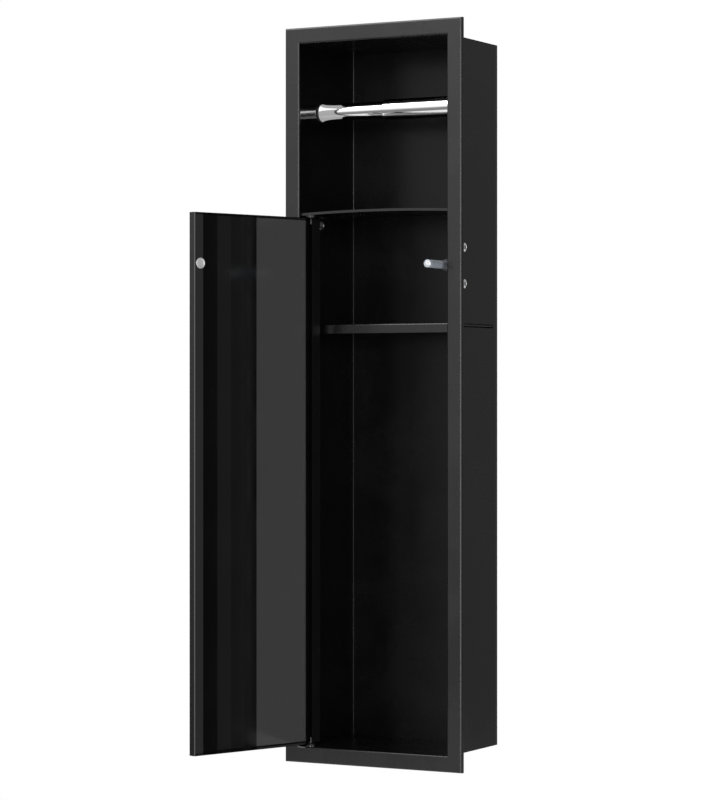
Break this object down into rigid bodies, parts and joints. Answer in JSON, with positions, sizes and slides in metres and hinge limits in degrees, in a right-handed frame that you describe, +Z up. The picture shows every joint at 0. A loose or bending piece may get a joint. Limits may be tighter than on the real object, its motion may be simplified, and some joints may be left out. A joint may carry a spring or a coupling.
{
  "type": "recessed toilet roll storage cabinet",
  "caption": "Tall recessed steel bathroom cabinet with a trim frame, an open roll niche with a sprung roller, and a side-hung door with a push latch over a shelved store.",
  "frame": {"origin": "middle of the body's flat underside, where the wall's surface and the rear edge of the trim frame's fold meet it", "axes": "+X to the right seen from the room, +Y into the wall, +Z up"},
  "size_m": [0.2773, 0.3096, 0.9026],
  "materials": {
    "coated_steel": "smooth black coating, satin on the folds and near gloss inside",
    "zinc_steel": "bright zinc plate",
    "dark_steel": "dark phosphated steel",
    "strike_steel": "dull plated steel",
    "spring_steel": "drawn wire",
    "chrome": "polished chrome plate",
    "rubber": "matte moulded rubber",
    "nylon": "black nylon",
    "latch_black": "fine moulded texture",
    "latch_grey": "satin moulded plastic",
    "magnet": "nickel plated disc"
  },
  "bodies": {
    "cabinet": {"left_frame_rail": "coated_steel", "right_frame_rail": "coated_steel", "top_frame_rail": "coated_steel", "bottom_frame_rail": "coated_steel", "left_wall": "coated_steel", "right_wall": "coated_steel", "top_wall": "coated_steel", "bottom_wall": "coated_steel", "back_wall": "coated_steel", "divider": "coated_steel", "left_shelf_rail": "coated_steel", "right_shelf_rail": "coated_steel", "storage_shelf": "coated_steel", "upper_pivot_arm": "coated_steel", "lower_pivot_arm": "coated_steel", "upper_pivot_pin": "dark_steel", "lower_pivot_pin": "dark_steel", "pivot_washers": "nylon", "pin_clip": "dark_steel", "arm_screw": "zinc_steel", "arm_nut": "zinc_steel", "latch_holder": "latch_black", "latch_screws": "zinc_steel", "latch_housing": "latch_black", "housing_plug": "latch_black", "latch_spring": "spring_steel"},
    "door": {"door_panel": "coated_steel", "strike_disc": "strike_steel"},
    "plunger": {"latch_plunger": "latch_grey", "latch_magnet": "magnet"},
    "roller_outer": {"roller_tube": "chrome", "roller_tube_foot": "rubber", "roller_spring": "spring_steel"},
    "roller_inner": {"roller_rod": "chrome", "roller_rod_foot": "rubber"}
  },
  "joints": [
    {"name": "door_hinge", "type": "hinge", "parent": "cabinet", "child": "door", "pos_m": [-0.08775, 0, 0.32715], "axis": [0, 0, 1], "range_deg": [-10, 110]},
    {"name": "plunger_slide", "type": "slide", "parent": "cabinet", "child": "plunger", "axis": [0, 1, 0], "range_m": [-0.0038, 0.0412], "deforming": ["latch_spring"]},
    {"name": "roller_spin", "type": "hinge", "parent": "cabinet", "child": "roller_outer", "pos_m": [0, 0.05, 0.7835], "axis": [1, 0, 0], "continuous": true},
    {"name": "roller_compress", "type": "slide", "parent": "roller_outer", "child": "roller_inner", "axis": [1, 0, 0], "range_m": [0, 0.012], "stiffness_N_per_m": 800, "springref_m": -0.02, "deforming": ["roller_spring"]}
  ],
  "couplings": [
    {"joint": "plunger_slide", "follows": "door_hinge", "m_per_rad": 0.021407}
  ]
}
